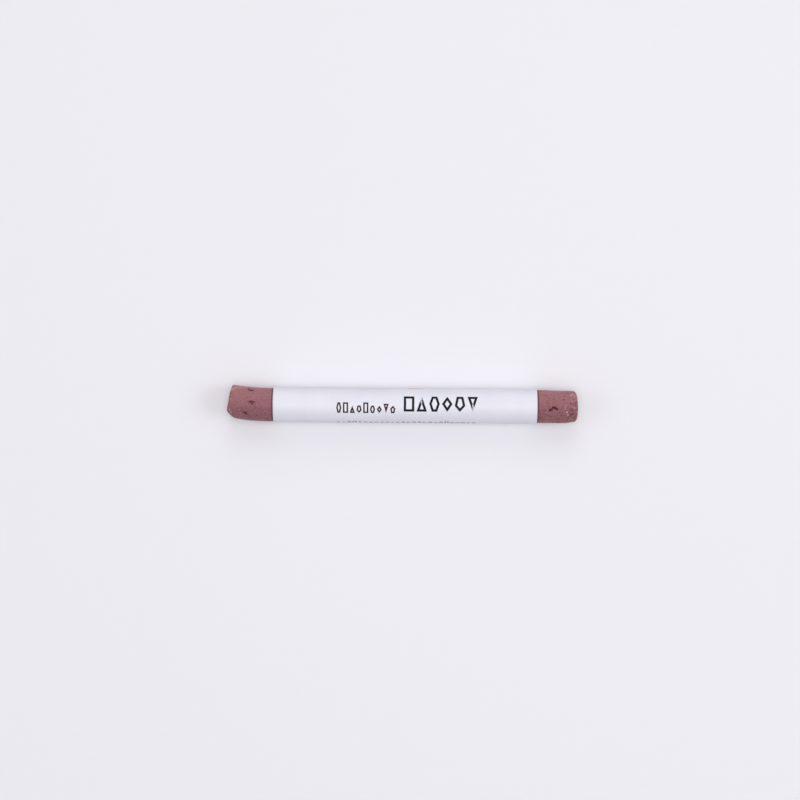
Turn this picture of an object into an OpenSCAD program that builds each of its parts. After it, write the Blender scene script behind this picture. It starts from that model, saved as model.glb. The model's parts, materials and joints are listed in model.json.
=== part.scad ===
// A round stick of ceramic chalk lying on its side, with a paper label wrapped once round its middle.
// X runs along the labelled middle, +Z is up, and the origin is the centre of the footprint at floor level.
// One bare end is straight. The other bends sideways, towards +Y, and stays clear of the floor.

/* [Stick] */
// Diameter of the stick along the bend, and where the label starts
stick_d = 8.46; // [6:0.02:14]
// Diameter of the straight bare end, to which the stick tapers under the label
grip_d = 8.36; // [6:0.02:14]
// Bare length at the straight end
grip_length = 10.25; // [6:0.05:30]
// Bare length along the centre line of the bent end
bend_length = 11.25; // [6:0.05:25]
// Radius of the bend, to the centre line
bend_radius = 76; // [40:1:200]

/* [Label] */
// Length of the label along the stick
label_length = 66.7; // [30:0.1:150]
// Width of the label sheet round the stick
label_width = 25.4; // [12:0.1:50]
// Thickness of the label paper
paper = 0.1; // [0.05:0.01:0.3]
// Gap between the stick at its thickest and the paper
wrap_gap = 0.02; // [0.01:0.01:0.2]

/* [Ends] */
// Rounding of the rim at the straight end
grip_rim = 1; // [0.2:0.05:2]
// Bevel of the rim at the bent end
bend_rim = 0.4; // [0.2:0.05:1.5]
// Leg of the worn corner on the outside of the bent end
worn_corner = 1.5; // [0.5:0.05:2.5]
// Length of the worn side at the straight end
worn_side_length = 3.6; // [1:0.1:5]
// Depth of the worn side at the straight end
worn_side_depth = 0.45; // [0.1:0.05:1]

/* [Pits] */
// Radius of the ball shape of a small air pit
pit_r = 0.55; // [0.3:0.05:1]
// Depth of a small air pit
pit_depth = 0.3; // [0.1:0.05:0.6]
// Depth of the crack in the straight end
crack_depth = 0.4; // [0.1:0.05:0.6]

/* [Hidden] */
$fn = 96;
// How far a cut runs past the surface it cuts
over = 1;

stick_r = stick_d / 2;
grip_r = grip_d / 2;
bend_angle = bend_length / bend_radius * 180 / PI;

// The label's inner, middle and outer surfaces, and how far round the sheet goes
label_in_r = max(stick_r, grip_r) + wrap_gap;
label_mid_r = label_in_r + paper / 2;
label_out_r = label_in_r + paper;
wrap_angle = label_width / label_mid_r * 180 / PI;
first_turn = min(wrap_angle, 360);
lap_angle = max(wrap_angle - 360, 0);
slit_angle = 360 - first_turn;

// The stick rests on the two edges of the slit, or on a lap, or on itself where the slit is wide
slit_edge_z = label_out_r * cos(slit_angle / 2);
axis_z = lap_angle > 0 ? label_out_r + paper : max(slit_edge_z, stick_r, grip_r);

// Footprint: the two ends in X, and the label and the tip of the bend in Y
bend_reach = (bend_radius + stick_r - worn_corner) * sin(bend_angle);
rim_angle = bend_rim / (bend_radius - stick_r) * 180 / PI;
tip_y = bend_radius - (bend_radius - stick_r) * cos(bend_angle - rim_angle);
label_x = (bend_reach - label_length - grip_length) / 2;
axis_y = (label_out_r - tip_y) / 2;

// Air pits: distance from the label's edge along the stick, then degrees from the top, turning towards +Y
bend_pits = [[5.3, 48], [5.9, 54], [5.6, 2], [7.2, -38]];
grip_pits = [[6.6, 28]];
// The crack: a run of pits that touch
crack_pits = [[3.1, -10], [3.6, -5], [4.2, -2], [4.8, -3], [5.4, -7]];

// Sets a piece down on the floor. Before this its origin is on the centre line, at the bent end of the label.
module lying() {
    translate([label_x, axis_y, axis_z])
        children();
}

// Places its children on the centre line of the bend, with +X towards the label
module on_bend(distance) {
    translate([0, bend_radius, 0])
        rotate([0, 0, -distance / bend_radius * 180 / PI])
            translate([0, -bend_radius, 0])
                children();
}

// Places its children on the centre line where the straight bare end starts
module on_grip() {
    translate([label_length, 0, 0])
        children();
}

// The curved run from the label to the tip
module bent_rod() {
    translate([0, bend_radius, 0])
        rotate_extrude(angle = bend_angle, start = 270 - bend_angle)
            translate([bend_radius, 0])
                circle(r = stick_r);
}

// Lays a round piece that is drawn along +Z down along +X
module along_x() {
    rotate([90, 0, 90])
        children();
}

// The straight run under the label, which tapers towards the straight bare end
module middle_rod() {
    along_x()
        cylinder(r1 = stick_r, r2 = grip_r, h = label_length);
}

// The straight bare end, with a rounded rim
module grip_rod() {
    along_x()
        rotate_extrude() {
            square([grip_r, grip_length - grip_rim]);
            square([grip_r - grip_rim, grip_length]);
            translate([grip_r - grip_rim, grip_length - grip_rim])
                circle(r = grip_rim);
        }
}

// What wears away the tip of the bend: a bevel round the rim, and a block across the outside corner
module bend_wear() {
    on_bend(bend_length) {
        rotate([0, -90, 0])
            rotate_extrude()
                polygon([
                    [stick_r - bend_rim - over, over],
                    [stick_r + over, over],
                    [stick_r + over, -bend_rim - over],
                ]);
        translate([0, -stick_r, 0])
            rotate([0, 0, 45])
                translate([-stick_d, -stick_d, -stick_d])
                    cube([stick_d + worn_corner / sqrt(2), 2 * stick_d, 2 * stick_d]);
    }
}

// The block that wears away one side at the straight end
module grip_wear() {
    on_grip()
        translate([grip_length - worn_side_length, -grip_r, 0])
            rotate([0, 0, atan(worn_side_depth / worn_side_length)])
                translate([0, -stick_d, -stick_d])
                    cube([2 * worn_side_length, stick_d, 2 * stick_d]);
}

// The ball that leaves a pit of this depth in a rod along X
module pit(r, depth, along, angle) {
    translate([along, 0, 0])
        rotate([-angle, 0, 0])
            translate([0, 0, r + pit_r - depth])
                sphere(r = pit_r);
}

module chalk_stick() {
    color([0.58, 0.40, 0.42])
        lying()
            difference() {
                union() {
                    bent_rod();
                    middle_rod();
                    on_grip()
                        grip_rod();
                }
                bend_wear();
                grip_wear();
                for (p = bend_pits)
                    on_bend(p[0])
                        pit(stick_r, pit_depth, 0, p[1]);
                for (p = grip_pits)
                    on_grip()
                        pit(grip_r, pit_depth, p[0], p[1]);
                for (p = crack_pits)
                    on_grip()
                        pit(grip_r, crack_depth, p[0], p[1]);
            }
}

// A stretch of the sheet round the stick, centred on this angle: 90 is the top and 270 the underside
module sheet_turn(inner_r, angle, middle) {
    along_x()
        rotate_extrude(angle = angle, start = middle - angle / 2)
            translate([inner_r, 0])
                square([paper, label_length]);
}

module paper_label() {
    color([0.91, 0.91, 0.95])
        lying() {
            sheet_turn(label_in_r, first_turn, 90);
            if (lap_angle > 0)
                sheet_turn(label_out_r, lap_angle, 270);
        }
}

chalk_stick();
paper_label();
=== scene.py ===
"""The looks of a chalk stick with a paper label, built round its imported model.

Lengths are metres in the CAD's frame: +X runs along the labelled middle towards the straight bare end,
and +Z is up. The stick's surface is a grid of rings. Each point of it has a place along the centre line,
a distance from that line (its reach) and an angle round it, from 0 at the top through +90 degrees
towards +Y.
"""

import json
import math
import random
from types import SimpleNamespace

import bpy
import numpy as np
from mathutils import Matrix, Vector, noise


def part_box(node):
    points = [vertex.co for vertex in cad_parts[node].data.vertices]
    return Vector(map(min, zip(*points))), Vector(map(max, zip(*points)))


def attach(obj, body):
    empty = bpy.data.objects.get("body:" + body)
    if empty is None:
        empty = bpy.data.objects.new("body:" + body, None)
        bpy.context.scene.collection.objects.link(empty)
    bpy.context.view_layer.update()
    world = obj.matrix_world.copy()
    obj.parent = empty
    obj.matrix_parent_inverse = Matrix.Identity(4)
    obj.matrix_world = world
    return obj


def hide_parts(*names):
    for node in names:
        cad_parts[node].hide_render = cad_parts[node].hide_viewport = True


MM = 0.001
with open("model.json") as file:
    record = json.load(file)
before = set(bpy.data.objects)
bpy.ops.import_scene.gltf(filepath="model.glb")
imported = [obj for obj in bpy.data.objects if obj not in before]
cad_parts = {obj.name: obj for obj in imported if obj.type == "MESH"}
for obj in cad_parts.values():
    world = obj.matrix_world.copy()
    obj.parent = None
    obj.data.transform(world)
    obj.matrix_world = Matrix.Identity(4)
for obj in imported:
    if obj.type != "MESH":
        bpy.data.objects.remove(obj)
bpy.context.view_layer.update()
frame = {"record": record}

# ---------------------------------------------------------------- sizes that the frame gives
mounts = {m["name"]: m for m in frame["record"]["mounts"]}
LABEL_LOW, LABEL_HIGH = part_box("paper_label")
LABEL_X0, LABEL_X1 = LABEL_LOW.x, LABEL_HIGH.x
LABEL_LENGTH = LABEL_X1 - LABEL_X0
LABEL_R = mounts["labelled_middle"]["dims"]["r_mm"] * MM
AXIS_Y, AXIS_Z = mounts["labelled_middle"]["pos_m"][1:]
GRIP_R = mounts["grip_end"]["dims"]["r_mm"] * MM
GRIP_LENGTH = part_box("chalk_stick")[1].x - LABEL_X1

# ---------------------------------------------------------------- the part's own sizes
PAPER = 0.1 * MM
WRAP_GAP = 0.02 * MM
LABEL_WIDTH = 25.4 * MM
STICK_R = LABEL_R - PAPER - WRAP_GAP
BEND_RADIUS = 76 * MM
BEND_LENGTH = 11.25 * MM


# ---------------------------------------------------------------- small helpers
def smooth(start, end, value):
    """0 at start, 1 at end, and a smooth step between them. Start may be the larger."""
    t = np.clip((value - start) / (end - start), 0, 1)
    return t * t * (3 - 2 * t)


def noise_at(points, size, octaves, seed):
    """Perlin noise, about -1 to 1, at an array of points, with features of this size."""
    flat = np.asarray(points, float).reshape(-1, 3) / size
    shift = Vector((seed * 17.3, seed * 9.1, seed * 4.7))
    values = [noise.fractal(Vector(p) + shift, 1.0, 2.0, octaves) for p in flat]
    return np.array(values).reshape(np.shape(points)[:-1])


def wrap_degrees(angle):
    """The same angle between -180 and 180 degrees."""
    return (angle + 180) % 360 - 180


def new_mesh(name, vertices, faces, material_index=None, smooth_shading=True):
    """A mesh object from arrays of vertices and faces."""
    mesh = bpy.data.meshes.new(name)
    mesh.from_pydata(np.asarray(vertices).tolist(), [], faces)
    mesh.polygons.foreach_set("use_smooth", [smooth_shading] * len(mesh.polygons))
    if material_index is not None:
        mesh.polygons.foreach_set("material_index", material_index)
    mesh.validate()
    mesh.update()
    piece = bpy.data.objects.new(name, mesh)
    bpy.context.scene.collection.objects.link(piece)
    return piece


def store(piece, name, values):
    """Keeps one number a vertex on a piece, for its material to read."""
    attribute = piece.data.attributes.new(name, "FLOAT", "POINT")
    attribute.data.foreach_set("value", np.asarray(values, np.float32).ravel())


# ---------------------------------------------------------------- the stick's rings
AROUND = 256
FACE_RINGS = 26
RIM_RINGS = 14
MIDDLE_RINGS = 60
DEGREES = np.arange(AROUND) * 360 / AROUND
# how far each point of a ring lies towards +Y and upwards, as shares of its reach
SIDEWAYS = np.sin(np.radians(DEGREES))
UPWARDS = np.cos(np.radians(DEGREES))


def lay_along(place, reach):
    """Points of the surface from their places along the centre line and their reach.

    The place is measured from the label's bent end, and is negative on the bend."""
    turn = np.minimum(place, 0) / BEND_RADIUS
    centre = BEND_RADIUS - SIDEWAYS * reach
    points = np.zeros(place.shape + (3,))
    points[..., 0] = LABEL_X0 + np.maximum(place, 0) + centre * np.sin(turn)
    points[..., 1] = AXIS_Y + BEND_RADIUS - centre * np.cos(turn)
    points[..., 2] = AXIS_Z + UPWARDS * reach
    return points


def end_rings(end):
    """Rings from the middle of an end's face over its rim and along its wall to the label.

    Gives each point's depth behind the face and its reach, as arrays of rings by points."""
    depth, reach = [], []
    for share in (np.arange(FACE_RINGS) + 0.5) / FACE_RINGS:
        depth.append(np.zeros(AROUND))
        reach.append((end.radius - end.rim) * share)
    for turn in np.linspace(0, math.pi / 2, RIM_RINGS):
        depth.append(end.rim * (1 - math.cos(turn)))
        reach.append(end.radius - end.rim + end.rim * math.sin(turn))
    for share in np.linspace(0, 1, end.wall_rings + 1)[1:]:
        depth.append(end.rim + (end.length - end.rim) * share)
        reach.append(np.full(AROUND, end.radius))
    return np.array(depth), np.array(reach)


# ---------------------------------------------------------------- pits and chips
# how many small pits are scattered over each bare end, and the girth that a degree covers
SCATTERED_PITS = 60
MM_PER_DEGREE = STICK_R / MM * math.pi / 180


class Mark:
    """A pit, crack or chip along a run of points.

    Each point has its distance from the label in mm and its angle in degrees. The width and the depth are
    in mm, and the strength, up to 1, is how much of the material's tint the mark takes: painted shade for a
    pit or crack, a pale tint for a chip."""

    def __init__(self, points, width, depth, strength=1.0):
        self.points = points
        self.width = width
        self.depth = depth
        self.strength = strength


BENT_PITS = [
    Mark([(6.6, 61), (6.0, 54), (5.3, 55)], 0.32, 0.50),
    Mark([(5.6, 7), (5.2, 2), (4.9, 6)], 0.31, 0.32, 0.85),
    Mark([(5.9, 6), (6.2, 8)], 0.16, 0.14, 0.7),
    Mark([(6.95, -34), (6.7, -36), (6.45, -40)], 0.30, 0.36),
    Mark([(6.7, 22), (6.5, 20)], 0.14, 0.10, 0.6),
    Mark([(1.6, -60), (1.2, -63)], 0.24, 0.22),
    Mark([(9.2, -8), (9.4, -11)], 0.12, 0.08, 0.5),
    Mark([(10.9, 31), (11.1, 30)], 0.18, 0.20, 0.7),
    Mark([(10.9, 16), (11.2, 14)], 0.20, 0.25, 0.6),
]

GRIP_PITS = [
    Mark([(3.1, -13), (3.45, -11)], 0.34, 0.55),
    Mark([(3.4, -10), (3.9, -6)], 0.20, 0.45),
    Mark([(4.0, -3), (4.35, -5)], 0.35, 0.65),
    Mark([(4.3, -5), (4.85, -8)], 0.22, 0.50),
    Mark([(4.8, -9), (5.0, -11)], 0.32, 0.50),
    Mark([(6.5, 28), (6.6, 24)], 0.17, 0.20, 0.8),
    Mark([(4.0, 17), (4.2, 15)], 0.15, 0.12, 0.6),
    Mark([(1.6, 42), (2.3, 43)], 0.15, 0.10, 0.5),
    Mark([(1.8, -28), (2.0, -30)], 0.14, 0.10, 0.6),
    Mark([(5.9, -30), (6.1, -33)], 0.17, 0.14, 0.7),
    Mark([(5.1, -70), (5.6, -73)], 0.24, 0.24),
    Mark([(8.3, 14), (8.5, 8)], 0.20, 0.18, 0.6),
    Mark([(8.4, -8), (8.6, -13)], 0.22, 0.18, 0.6),
    Mark([(8.9, -26), (8.8, -31)], 0.17, 0.14, 0.6),
    Mark([(7.8, -46), (8.0, -51)], 0.20, 0.18, 0.8),
    Mark([(9.8, -12), (10.3, -13)], 0.30, 0.40, 0.3),
    Mark([(9.8, 36), (10.3, 30)], 0.34, 0.30, 0.3),
    Mark([(6.9, 58), (8.0, 54)], 0.20, 0.10, 0.5),
    Mark([(8.5, -8), (8.6, -36)], 0.80, 0.02, 0.27),
]

# where grit broke off and left pale spots, with hardly any depth
BENT_CHIPS = [
    Mark([(8.8, 66), (10.2, 60), (10.9, 48)], 0.75, 0.02, 0.3),
    Mark([(10.6, -28), (10.1, -44)], 0.30, 0.04, 0.35),
]

GRIP_CHIPS = [
    Mark([(6.95, 5), (6.9, -3), (7.0, -10)], 0.10, 0.04, 0.5),
    Mark([(7.4, -18), (7.5, -20)], 0.20, 0.08),
    Mark([(7.75, -29), (7.8, -31)], 0.22, 0.08),
    Mark([(8.3, 46), (8.8, 47)], 0.24, 0.08),
    Mark([(9.3, 38), (9.6, 30)], 0.13, 0.06, 0.5),
    Mark([(7.9, -55), (8.8, -40), (9.7, -26)], 0.11, 0.05, 0.5),
]


def scattered_pits(length, seed):
    """Small air pits at random all round a bare end of this length, just short of its face and the label."""
    draw = random.Random(seed)
    pits = []
    for _ in range(SCATTERED_PITS):
        along = draw.uniform(0.4, length / MM - 0.6)
        angle = draw.uniform(-180, 180)
        slant = draw.uniform(-3, 3)
        run = draw.uniform(0.05, 0.4)
        size = 0.07 + 0.09 * draw.random() ** 2
        points = [(along, angle), (along + run, angle + slant)]
        pits.append(Mark(points, size, size * draw.uniform(0.4, 0.9)))
    return pits


def sunk_by(marks, along, spread):
    """How deep the marks sink each point, in metres, and how much of their tint it takes, from 0 to 1.

    The spread is how many times wider than its width a mark is at each point."""
    along_mm = along / MM
    sunk = np.zeros(along.shape)
    tint = np.zeros(along.shape)
    for mark in marks:
        nearest = np.full(along.shape, np.inf)
        for (x0, a0), (x1, a1) in zip(mark.points, mark.points[1:]):
            off_x = along_mm - x0
            off_a = wrap_degrees(DEGREES - a0) * MM_PER_DEGREE
            run_x = x1 - x0
            run_a = (a1 - a0) * MM_PER_DEGREE
            share = np.clip((off_x * run_x + off_a * run_a) / (run_x**2 + run_a**2), 0, 1)
            gap = np.hypot(off_x - share * run_x, off_a - share * run_a)
            nearest = np.minimum(nearest, gap)
        part = smooth(1.15, 0.45, nearest / np.maximum(mark.width * spread, 0.02))
        sunk = np.maximum(sunk, part * mark.depth * MM)
        tint = np.maximum(tint, part * mark.strength)
    return sunk, tint


def pits_and_chips(end, points, along):
    """How deep an end's pits and chips sink each point, then the painted shade of its pits and the tint of
    its chips.
    """
    ragged = noise_at(points, 0.3 * MM, octaves=4, seed=3)
    sunk, pit = sunk_by(end.pits, along, 1 + 0.8 * ragged)
    small_sunk, small_pit = sunk_by(scattered_pits(end.length, end.pit_seed), along, 1 + 0.8 * ragged)
    chip_sunk, chip = sunk_by(end.chips, along, 1 + 1.2 * ragged)
    return np.maximum(sunk, small_sunk) + chip_sunk, np.maximum(pit, 0.6 * small_pit), chip


# ---------------------------------------------------------------- the two bare ends
def bent_thinning(depth):
    """How far use has thinned the bent end: a little, on the outside of the bend."""
    return 0.2 * MM * smooth(6 * MM, 0, depth) * smooth(0.3, 1, -SIDEWAYS)


def grip_thinning(depth):
    """How far use has thinned the straight end: its corner towards -Y, and a slight taper towards +Y."""
    corner = smooth(3.6 * MM, 0, depth) * smooth(0.45, 1, -SIDEWAYS)
    taper = smooth(9 * MM, 5 * MM, depth) * smooth(0.3, 1, SIDEWAYS)
    return (0.36 * corner + 0.16 * taper) * MM


# An end's face is at a place along the centre line, and inwards is the sign of the way from there to the
# label. The rim is its rounding at each point round it, and used is where the hand has smoothed the end.
BENT = SimpleNamespace(
    face=-BEND_LENGTH,
    inwards=1,
    length=BEND_LENGTH,
    radius=STICK_R,
    wall_rings=92,
    # worn on the outside of the bend, sharp on the inside
    rim=(0.45 + 1.85 * smooth(0.45, 1, -SIDEWAYS) ** 2) * MM,
    thinning=bent_thinning,
    used=smooth(0.1, 0.6, -SIDEWAYS),
    crumble_length=1.0 * MM,
    crumble_depth=0.13 * MM,
    pits=BENT_PITS,
    chips=BENT_CHIPS,
    pit_seed=9,
)

GRIP = SimpleNamespace(
    face=LABEL_LENGTH + GRIP_LENGTH,
    inwards=-1,
    length=GRIP_LENGTH,
    radius=GRIP_R,
    wall_rings=84,
    # a little larger towards +Y
    rim=(0.7 + 0.5 * smooth(0, 1, SIDEWAYS)) * MM,
    thinning=grip_thinning,
    used=np.zeros(AROUND),
    crumble_length=2.9 * MM,
    crumble_depth=0.18 * MM,
    pits=GRIP_PITS,
    chips=GRIP_CHIPS,
    pit_seed=19,
)

# what the chalk's material reads at each point: how much painted shade from its pits and how much stain near
# its rim it takes, how broken it is, how much of a pale chip's tint it takes, and how much painted shade it
# takes close to the label's edge
LOOKS = ("pit", "broken", "chip", "painted_edge_shade")

# the die's drag lines: their length, and how fine they are, as the radius of the ring that their noise is
# read on
DRAG_LENGTH = 7 * MM
DRAG_FINENESS = 9


def texture(points, place, wall):
    """How far the stick's fine texture sinks each point: low drag lines, soft lumps and the clay's grain."""
    ring = [np.broadcast_to(unit * DRAG_FINENESS, place.shape) for unit in (SIDEWAYS, UPWARDS)]
    drag = noise_at(np.stack([place / DRAG_LENGTH, *ring], axis=-1), 1, octaves=3, seed=1)
    grain = noise_at(points, 0.35 * MM, octaves=3, seed=2)
    lump = noise_at(points, 2.4 * MM, octaves=2, seed=5)
    return (wall * (0.018 * drag + 0.02 * lump) + 0.014 * grain) * MM


def crumbling(end, points, depth):
    """How broken an end's rim is, and how stained it is between the broken places, from 0 to 1."""
    near_rim = smooth(end.crumble_length, 0.3 * end.crumble_length, depth)
    crumbs = noise_at(points, 0.8 * MM, octaves=4, seed=7)
    return near_rim * smooth(0.02, 0.42, crumbs), near_rim * smooth(0.05, 0.5, -crumbs)


def rough_face(points):
    """How far a cut face goes back where grit was torn out of it."""
    torn = np.abs(noise_at(points, 1.1 * MM, octaves=4, seed=11))
    coarse = np.maximum(noise_at(points, 3.2 * MM, octaves=2, seed=13), 0)
    grit = np.maximum(noise_at(points, 0.4 * MM, octaves=3, seed=23), 0)
    return (0.12 * torn + 0.12 * coarse + 0.05 * grit) * MM


def slanted_end(end, points, depth, reach):
    """How far an end goes back because its face slants and its rim has notches.

    The face leans back towards the bottom. Where use has smoothed the end, it stands out a little, with no
    notches."""
    share = reach / STICK_R
    used = end.used * share
    lean = (0.16 * (1 - UPWARDS * share) - 0.17 * used) * smooth(3 * MM, 0, depth)
    notch = smooth(0.2, 0.55, noise_at(points, 1.3 * MM, octaves=3, seed=17)) * smooth(1.6 * MM, 0, depth)
    return (lean + 0.25 * notch * (1 - used)) * MM


def end_surface(end):
    """A bare end's rings, from the middle of its face to the label: its points, then its LOOKS."""
    depth, reach = end_rings(end)
    reach = reach - end.thinning(depth) * reach / end.radius
    place = end.face + end.inwards * depth
    points = lay_along(place, reach)
    along = end.length - depth
    wall = smooth(0.5, 0.98, reach / STICK_R)

    sunk, pit, chip = pits_and_chips(end, points, along)
    broken, stained = crumbling(end, points, depth)
    inward = texture(points, place, wall) + (sunk + end.crumble_depth * broken) * wall
    back = rough_face(points) * (1 - wall) + slanted_end(end, points, depth, reach)

    # painted shade on the chalk just beyond the label's edge
    painted_edge_shade = smooth(0.5 * MM, 0.2 * MM, along)
    # painted shade in the pits, taken together with the rim's stains
    looks = [np.maximum(pit, 0.3 * stained) * wall, broken * wall, chip * wall, painted_edge_shade]
    return [lay_along(place + end.inwards * back, reach - inward), *looks]


# ---------------------------------------------------------------- the stick
def stick_surface():
    """Every ring of the stick, from the middle of one face to the middle of the other: points, then LOOKS."""
    share = np.linspace(0, 1, MIDDLE_RINGS + 2)[1:-1, None] * np.ones(AROUND)
    middle = lay_along(share * LABEL_LENGTH, STICK_R + (GRIP_R - STICK_R) * share)
    under_label = [middle] + [np.zeros(share.shape)] * len(LOOKS)
    # the straight end is turned round, so that its rings run on from the label
    straight_end = [values[::-1] for values in end_surface(GRIP)]
    return [np.concatenate(parts) for parts in zip(end_surface(BENT), under_label, straight_end)]


def ring_faces(rings):
    """Quads between rings, and the two fans that close the ends.

    The last two vertices are the middles of the fans."""
    faces = []
    for r in range(rings - 1):
        for a in range(AROUND):
            b = (a + 1) % AROUND
            faces.append((r * AROUND + a, r * AROUND + b, (r + 1) * AROUND + b, (r + 1) * AROUND + a))
    first, last = rings * AROUND, rings * AROUND + 1
    top = (rings - 1) * AROUND
    for a in range(AROUND):
        b = (a + 1) % AROUND
        faces.append((first, b, a))
        faces.append((last, top + a, top + b))
    return faces


def make_stick():
    points, *looks = stick_surface()
    middles = np.stack([points[0].mean(axis=0), points[-1].mean(axis=0)])
    vertices = np.concatenate([points.reshape(-1, 3), middles])
    stick = new_mesh("chalk_stick_body", vertices, ring_faces(len(points)))
    for name, values in zip(LOOKS, looks):
        store(stick, name, np.append(values.ravel(), [0, 0]))
    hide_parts("chalk_stick")
    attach(stick, "root")
    return stick


# ---------------------------------------------------------------- the label's sheet
MID_R = LABEL_R - PAPER / 2
HALF_WIDTH = LABEL_WIDTH / 2
SHEET_LONG_STEPS = 190
SHEET_WIDE_STEPS = 84

# faint waves, and how far in from the sheet's long edges they have died out
WAVE_LENGTH = 14 * MM
WAVE_WIDTH = 6 * MM
WAVE_HEIGHT = 0.02 * MM
EDGE_MARGIN = 2.5 * MM

# one soft buckle: where its middle is, half its length and width, and its depth
BUCKLE_ALONG, BUCKLE_AROUND = 8.5 * MM, 0.2 * MM
BUCKLE_LENGTH, BUCKLE_WIDTH = 5.5 * MM, 1.5 * MM
BUCKLE_DEPTH = 0.045 * MM

# how far the sheet's cut edge wanders at the bent end
CUT_WANDER = 0.035 * MM


def sheet_rise(along, around):
    """How far the sheet stands off its plain tube."""
    span = HALF_WIDTH - EDGE_MARGIN
    loose = smooth(span, span * 0.6, np.abs(around))
    points = np.stack([along / WAVE_LENGTH, around / WAVE_WIDTH, np.zeros(along.shape)], axis=-1)
    waves = noise_at(points, 1, octaves=2, seed=21)
    from_buckle = np.hypot((along - BUCKLE_ALONG) / BUCKLE_LENGTH, (around - BUCKLE_AROUND) / BUCKLE_WIDTH)
    return loose * (WAVE_HEIGHT * waves - BUCKLE_DEPTH * smooth(1, 0, from_buckle))


def on_sheet(along, around, depth=0.0):
    """Points on the label: distance from its bent end, distance round from the top towards +Y, and depth."""
    angle = around / MID_R
    r = LABEL_R + sheet_rise(along, around) - depth
    return np.stack([LABEL_X0 + along, AXIS_Y + r * np.sin(angle), AXIS_Z + r * np.cos(angle)], axis=-1)


def make_sheet():
    """One closed sheet, as thick as its paper."""
    along = np.linspace(0, LABEL_LENGTH, SHEET_LONG_STEPS + 1)
    around = np.linspace(-HALF_WIDTH, HALF_WIDTH, SHEET_WIDE_STEPS + 1)
    along, around = np.meshgrid(along, around, indexing="ij")
    edge = np.stack([around, around * 0, around * 0], axis=-1)
    wander = CUT_WANDER * noise_at(edge, 2 * MM, octaves=2, seed=31)
    along = along + wander * smooth(2 * MM, 0, along)
    outer = on_sheet(along, around)
    inner = on_sheet(along, around, PAPER)
    vertices = np.concatenate([outer.reshape(-1, 3), inner.reshape(-1, 3)])

    columns = SHEET_WIDE_STEPS + 1
    below = (SHEET_LONG_STEPS + 1) * columns
    faces = []
    for i in range(SHEET_LONG_STEPS):
        for j in range(SHEET_WIDE_STEPS):
            a = i * columns + j
            faces.append((a, a + columns, a + columns + 1, a + 1))
            faces.append((below + a, below + a + 1, below + a + columns + 1, below + a + columns))
    # the rim between the two sides, along the long edges and then the short ones
    for i in range(SHEET_LONG_STEPS):
        for j in (0, SHEET_WIDE_STEPS):
            a = i * columns + j
            b = a + columns
            faces.append((a, below + a, below + b, b) if j == 0 else (a, b, below + b, below + a))
    for j in range(SHEET_WIDE_STEPS):
        for i in (0, SHEET_LONG_STEPS):
            a = i * columns + j
            b = a + 1
            faces.append((a, b, below + b, below + a) if i == 0 else (a, below + a, below + b, b))

    sheet = new_mesh("label_sheet", vertices, faces)
    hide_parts("paper_label")
    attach(sheet, "root")
    return sheet


# ---------------------------------------------------------------- the print: plain shapes in ink
# the ink stands this far above the sheet and goes this far into it, in steps of at most this length
INK = 0.012 * MM
INK_STEP = 0.3 * MM

# outlines: how many sides, and the angle of a corner from +X towards +Y, in degrees
BOX = (4, 45)
DIAMOND = (4, 0)
HEXAGON = (6, 0)
TRIANGLE_UP = (3, -30)
TRIANGLE_DOWN = (3, 30)
PENTAGON_UP = (5, 90)
PENTAGON_DOWN = (5, -90)


def ink_strip(path, closed):
    """A solid strip of ink from its rows of (along, around) points, which may run round to its start."""
    top = on_sheet(path[..., 0], path[..., 1], -INK)
    under = on_sheet(path[..., 0], path[..., 1], INK)
    vertices = np.concatenate([top, under[:, ::-1]], axis=1).reshape(-1, 3)
    rows = len(path)
    row = 2 * path.shape[1]
    faces = []
    if not closed:
        last = (rows - 1) * row
        faces = [tuple(range(row)), tuple(last + c for c in reversed(range(row)))]
    for k in range(rows if closed else rows - 1):
        n = (k + 1) % rows
        for c in range(row):
            d = (c + 1) % row
            faces.append((k * row + c, n * row + c, n * row + d, k * row + d))
    return vertices, faces


def outline_patch(outer, inner):
    """A closed band of ink between an outer and an inner outline, both arrays of (along, around) corners."""
    path = []
    for i in range(len(outer)):
        j = (i + 1) % len(outer)
        parts = max(1, math.ceil(np.linalg.norm(outer[j] - outer[i]) / INK_STEP))
        for k in range(parts):
            out, within = (line[i] + (line[j] - line[i]) * k / parts for line in (outer, inner))
            path.append([out, (out + within) / 2, within])
    return ink_strip(np.array(path), closed=True)


def bar_patch(low, high):
    """A bar of ink between two opposite corners (along, around)."""
    rows = max(2, math.ceil((high[1] - low[1]) / INK_STEP) + 1)
    around = np.linspace(low[1], high[1], rows)
    sides = [np.stack([np.full(rows, x), around], axis=1) for x in (low[0], high[0])]
    return ink_strip(np.stack(sides, axis=1), closed=False)


def polygon(middle, size, sides, turn, stroke):
    """An outline that fills a box of this size (along, around), and the outline inside its stroke."""
    angles = [math.radians(turn) + 2 * math.pi * k / sides for k in range(sides)]
    unit = np.array([(math.cos(t), math.sin(t)) for t in angles])
    low, high = unit.min(axis=0), unit.max(axis=0)
    outer = (unit - (low + high) / 2) / (high - low) * size
    inner = []
    for k in range(sides):
        before, here, after = outer[k - 1], outer[k], outer[(k + 1) % sides]
        in_edge, out_edge = here - before, after - here
        in_normal = np.array([-in_edge[1], in_edge[0]]) / np.linalg.norm(in_edge)
        out_normal = np.array([-out_edge[1], out_edge[0]]) / np.linalg.norm(out_edge)
        mitre = in_normal + out_normal
        inner.append(here + mitre * stroke / (1 + in_normal @ out_normal))
    return outer + middle, np.array(inner) + middle


def row_of_shapes(start, end, base, heights, shapes, stroke, gap):
    """Outlines in a row from start to end along the label, standing on the base line."""
    patches = []
    each = (end - start + gap) / len(shapes)
    for k, (height, (sides, turn)) in enumerate(zip(heights, shapes)):
        middle = np.array([start + each * k + (each - gap) / 2, base + height / 2])
        patches.append(outline_patch(*polygon(middle, (each - gap, height), sides, turn, stroke)))
    return patches


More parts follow.
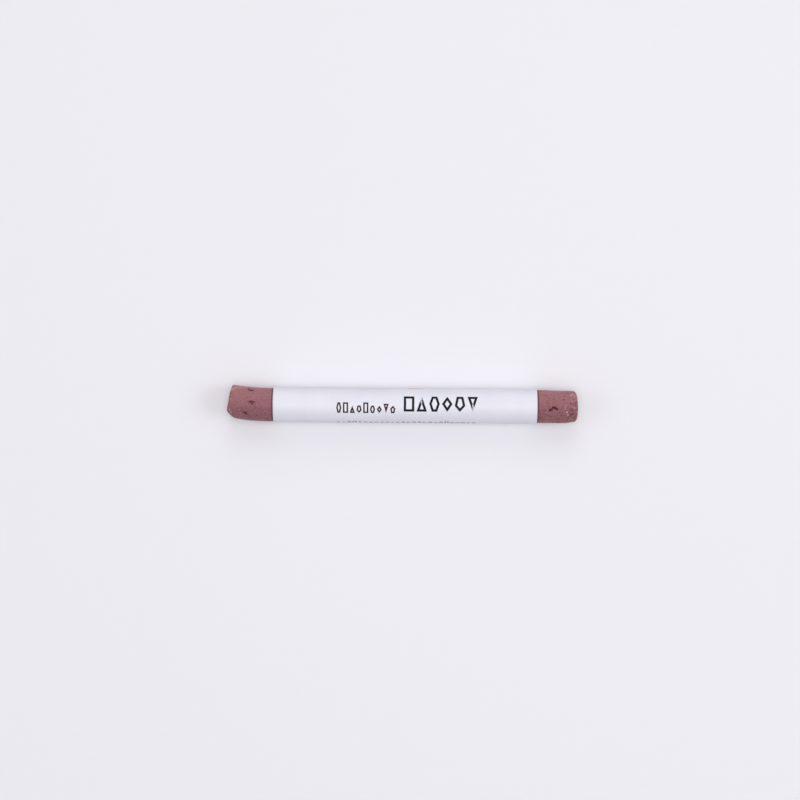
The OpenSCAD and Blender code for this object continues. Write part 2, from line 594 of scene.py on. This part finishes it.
def brown_row():
    """Small outlines of mixed heights, on the top towards the bent end."""
    heights = [h * MM for h in (2.7, 2.7, 1.95, 1.95, 2.7, 1.95, 1.95, 2.4, 1.95)]
    shapes = (
        HEXAGON, BOX, TRIANGLE_UP, PENTAGON_DOWN, BOX, HEXAGON, DIAMOND, TRIANGLE_DOWN, PENTAGON_UP,
    )
    return row_of_shapes(
        start=16.0 * MM, end=30.9 * MM, base=-1.98 * MM,
        heights=heights, shapes=shapes, stroke=0.38 * MM, gap=0.40 * MM,
    )


def black_row():
    """Larger outlines of one height, on the top towards the straight end."""
    shapes = (BOX, TRIANGLE_UP, HEXAGON, DIAMOND, PENTAGON_DOWN, TRIANGLE_DOWN)
    return row_of_shapes(
        start=33.0 * MM, end=51.7 * MM, base=-1.50 * MM,
        heights=[3.9 * MM] * len(shapes), shapes=shapes, stroke=0.60 * MM, gap=0.55 * MM,
    )


def grey_row():
    """A long row of little outlines, down the side towards -Y."""
    draw = random.Random(12)
    count = 26
    heights = [draw.choice((1.3, 1.3, 1.8)) * MM for _ in range(count)]
    sides = [draw.choice((3, 4, 4, 5, 6)) for _ in range(count)]
    turns = [draw.choice((0, 45, 90)) for _ in range(count)]
    return row_of_shapes(
        start=16.0 * MM, end=51.2 * MM, base=-6.75 * MM,
        heights=heights, shapes=list(zip(sides, turns)), stroke=0.22 * MM, gap=0.4 * MM,
    )


def red_bar():
    """One bar, down the side towards +Y."""
    return [bar_patch((34.0 * MM, 5.75 * MM), (38.0 * MM, 6.6 * MM))]


def make_print():
    """All the ink as one piece. Its materials are in the order of INKS."""
    vertices, faces, inks = [], [], []
    for ink, patches in enumerate((brown_row(), black_row(), grey_row(), red_bar())):
        for patch_vertices, patch_faces in patches:
            first = len(vertices)
            vertices.extend(patch_vertices)
            faces.extend(tuple(first + v for v in face) for face in patch_faces)
            inks.extend([ink] * len(patch_faces))
    marks = new_mesh("label_print", vertices, faces, inks, smooth_shading=False)
    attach(marks, "root")
    return marks


# ---------------------------------------------------------------- materials
def srgb(r, g, b):
    """A colour from its 0 to 255 display values."""
    def linear(v):
        v = v / 255
        return v / 12.92 if v <= 0.04045 else ((v + 0.055) / 1.055) ** 2.4
    return (linear(r), linear(g), linear(b), 1.0)


class Nodes:
    """Short calls for building a material's nodes. A noise's scale is its features to a metre."""

    def __init__(self, name):
        self.material = bpy.data.materials.new(name)
        self.material.use_nodes = True
        self.tree = self.material.node_tree
        self.shader = self.tree.nodes["Principled BSDF"]

    def node(self, kind, **settings):
        made = self.tree.nodes.new(kind)
        for key, value in settings.items():
            setattr(made, key, value)
        return made

    def link(self, source, target):
        self.tree.links.new(source, target)

    def finish(self, name, value):
        """Sets one of the shader's inputs to a value or an output."""
        if hasattr(value, "node"):
            self.link(value, self.shader.inputs[name])
        else:
            self.shader.inputs[name].default_value = value

    def attribute(self, name):
        return self.node("ShaderNodeAttribute", attribute_name=name).outputs["Fac"]

    def noise(self, vector, scale, detail=3, roughness=0.5):
        made = self.node("ShaderNodeTexNoise")
        made.inputs["Scale"].default_value = scale
        made.inputs["Detail"].default_value = detail
        made.inputs["Roughness"].default_value = roughness
        self.link(vector, made.inputs["Vector"])
        return made.outputs["Fac"]

    def remap(self, value, low, high, to_low=0.0, to_high=1.0):
        made = self.node("ShaderNodeMapRange")
        self.link(value, made.inputs["Value"])
        for key, number in (("From Min", low), ("From Max", high), ("To Min", to_low), ("To Max", to_high)):
            made.inputs[key].default_value = number
        return made.outputs["Result"]

    def mix(self, factor, first, second):
        """A mix of two colours, each a colour value or an output."""
        made = self.node("ShaderNodeMix", data_type="RGBA")
        self.link(factor, made.inputs["Factor"])
        # inputs 6 and 7 and output 2 are the node's colours
        for socket, colour in ((made.inputs[6], first), (made.inputs[7], second)):
            if hasattr(colour, "node"):
                self.link(colour, socket)
            else:
                socket.default_value = colour
        return made.outputs[2]

    def bump(self, height, strength, distance, normal=None):
        made = self.node("ShaderNodeBump")
        made.inputs["Strength"].default_value = strength
        made.inputs["Distance"].default_value = distance
        self.link(height, made.inputs["Height"])
        if normal is not None:
            self.link(normal, made.inputs["Normal"])
        return made.outputs["Normal"]

    def place(self):
        return self.node("ShaderNodeTexCoord").outputs["Object"]

    def stretched(self, vector, scale):
        made = self.node("ShaderNodeMapping")
        made.inputs["Scale"].default_value = scale
        self.link(vector, made.inputs["Vector"])
        return made.outputs["Vector"]


# the tints of the chalk's wear, its rim stains and its painted shade, in the order that they are laid: the
# stored number that each one reads, where it starts and is full, how strong it gets, and its colour
WEAR_AND_SHADE_TINTS = [
    ("broken", 0.1, 0.9, 0.4, srgb(190, 147, 145)),
    ("chip", 0.1, 0.9, 0.85, srgb(222, 186, 182)),
    # painted shade in the pits, with the rim's stains
    ("pit", 0.1, 0.75, 0.85, srgb(84, 34, 43)),
    # painted shade next to the label's edge
    ("painted_edge_shade", 0, 1, 0.9, srgb(82, 56, 70)),
]


def chalk_material():
    """Reddish-brown dried clay, with blotches, streaks and specks, painted light on its side towards +Y, the
    tints of its wear and its rim stains, and painted shade in its pits and next to the label's edge.
    """
    n = Nodes("chalk")
    where = n.place()
    blotch = n.remap(n.noise(where, 420, 4), 0.35, 0.65)
    patch = n.remap(n.noise(where, 1500, 3, 0.6), 0.32, 0.68)
    fine = n.remap(n.noise(where, 3600, 3, 0.65), 0.32, 0.68)
    streak = n.remap(n.noise(n.stretched(where, (0.14, 1, 1)), 2600, 4, 0.6), 0.36, 0.66)
    body = n.mix(blotch, srgb(124, 74, 82), srgb(144, 93, 100))
    body = n.mix(n.remap(patch, 0, 1, 0.45, 0), body, srgb(110, 63, 71))
    body = n.mix(n.remap(streak, 0, 1, 0.85, 0), body, srgb(100, 54, 64))
    body = n.mix(n.remap(fine, 0, 1, 0, 0.75), body, srgb(170, 121, 127))
    # painted light: the chalk is paler on its side towards +Y, which faces the back light
    across = n.node("ShaderNodeSeparateXYZ")
    n.link(where, across.inputs["Vector"])
    painted_light_side = n.remap(across.outputs["Y"], AXIS_Y - 0.35 * STICK_R, AXIS_Y + 0.95 * STICK_R, 0, 0.36)
    body = n.mix(painted_light_side, body, srgb(192, 138, 141))
    for name, start, full, strength, tint in WEAR_AND_SHADE_TINTS:
        body = n.mix(n.remap(n.attribute(name), start, full, 0, strength), body, tint)
    n.finish("Base Color", body)
    n.finish("Roughness", 0.9)
    n.finish("Specular IOR Level", 0.2)
    n.finish("Sheen Weight", 0.2)
    n.finish("Sheen Roughness", 0.4)
    lines = n.bump(streak, 0.35, 0.03 * MM)
    n.finish("Normal", n.bump(fine, 0.45, 0.04 * MM, lines))
    return n.material


def paper_material():
    """White label paper with faint fibres."""
    n = Nodes("label_paper")
    where = n.place()
    fibre = n.noise(n.stretched(where, (1, 1.6, 1.6)), 5200, 4, 0.6)
    tone = n.noise(where, 130, 2)
    colour = n.mix(n.remap(tone, 0.35, 0.65), srgb(226, 225, 237), srgb(230, 229, 240))
    colour = n.mix(n.remap(fibre, 0.55, 0.8, 0, 0.2), colour, srgb(217, 216, 230))
    n.finish("Base Color", colour)
    n.finish("Roughness", n.remap(fibre, 0.3, 0.7, 0.42, 0.52))
    n.finish("Specular IOR Level", 0.45)
    n.finish("Normal", n.bump(fibre, 0.15, 0.01 * MM))
    return n.material


INKS = [
    ("ink_brown", srgb(58, 8, 26)),
    ("ink_black", srgb(8, 3, 16)),
    ("ink_grey", srgb(96, 94, 106)),
    ("ink_red", srgb(220, 172, 184)),
]


def ink_material(name, colour):
    """Ink with the slight unevenness of a small office printer."""
    n = Nodes(name)
    patch = n.remap(n.noise(n.place(), 2600, 2), 0.4, 0.75, 0, 0.06)
    n.finish("Base Color", n.mix(patch, colour, srgb(170, 165, 175)))
    n.finish("Roughness", 0.5)
    n.finish("Specular IOR Level", 0.2)
    return n.material


def floor_material():
    n = Nodes("floor_white")
    n.finish("Base Color", srgb(236, 235, 241))
    n.finish("Roughness", 0.9)
    n.finish("Specular IOR Level", 0.2)
    return n.material


# ---------------------------------------------------------------- the studio
# half the floor's side, and the light of the surrounding
FLOOR_HALF = 1.5
WORLD_STRENGTH = 0.325

# square lights that face the origin: name, place, size and watts
LIGHTS = [
    ("overhead", (0.0, 0.0, 0.9), 0.3, 2.15),
    ("back", (0.0, 0.77, 0.62), 0.6, 1.95),
    ("front", (0.0, -0.4, 0.9), 0.5, 0.95),
    ("right", (0.7, 0.0, 0.7), 0.5, 2.4),
    ("left", (-0.7, 0.0, 0.7), 0.5, 1.15),
]


def add_light(name, place, size, watts):
    lamp = bpy.data.lights.new(name, "AREA")
    lamp.shape = "SQUARE"
    lamp.size = size
    lamp.energy = watts
    holder = bpy.data.objects.new(name, lamp)
    holder.location = place
    to_origin = Vector() - Vector(place)
    holder.rotation_euler = to_origin.to_track_quat("-Z", "Y").to_euler()
    bpy.context.scene.collection.objects.link(holder)


def make_floor():
    corners = [(x * FLOOR_HALF, y * FLOOR_HALF, 0) for x, y in ((-1, -1), (1, -1), (1, 1), (-1, 1))]
    floor = new_mesh("floor", corners, [(0, 1, 2, 3)])
    floor.data.materials.append(floor_material())


def make_studio():
    """The floor, the lights and a plain white surrounding."""
    make_floor()
    for light in LIGHTS:
        add_light(*light)
    world = bpy.data.worlds.new("studio")
    world.use_nodes = True
    background = world.node_tree.nodes["Background"]
    background.inputs["Color"].default_value = (1, 1, 1, 1)
    background.inputs["Strength"].default_value = WORLD_STRENGTH
    bpy.context.scene.world = world
    bpy.context.scene.view_settings.view_transform = "Standard"


# ---------------------------------------------------------------- the camera
CAMERA_HEIGHT = 0.57
# the label's length as a share of the picture's width, on the label's top line
LABEL_SHARE = 0.3313125
# how far the camera stands from over the label's middle, along +X and +Y, and how far it is turned
CAMERA_SHIFT_X = -1.30 * MM
CAMERA_SHIFT_Y = 1.40 * MM
CAMERA_TURN = math.radians(0.39)


def make_camera():
    """A camera that looks straight down, turned a little."""
    width = LABEL_LENGTH / LABEL_SHARE
    lens = bpy.data.cameras.new("camera")
    lens.sensor_fit = "HORIZONTAL"
    lens.angle = 2 * math.atan(width / 2 / (CAMERA_HEIGHT - AXIS_Z - LABEL_R))
    lens.clip_start = 0.01
    camera = bpy.data.objects.new("camera", lens)
    middle = (LABEL_X0 + LABEL_X1) / 2
    camera.location = (middle + CAMERA_SHIFT_X, AXIS_Y + CAMERA_SHIFT_Y, CAMERA_HEIGHT)
    camera.rotation_euler = (0, 0, CAMERA_TURN)
    bpy.context.scene.collection.objects.link(camera)
    bpy.context.scene.camera = camera


make_camera()
make_studio()
stick = make_stick()
stick.data.materials.append(chalk_material())
sheet = make_sheet()
sheet.data.materials.append(paper_material())
marks = make_print()
for name, colour in INKS:
    marks.data.materials.append(ink_material(name, colour))
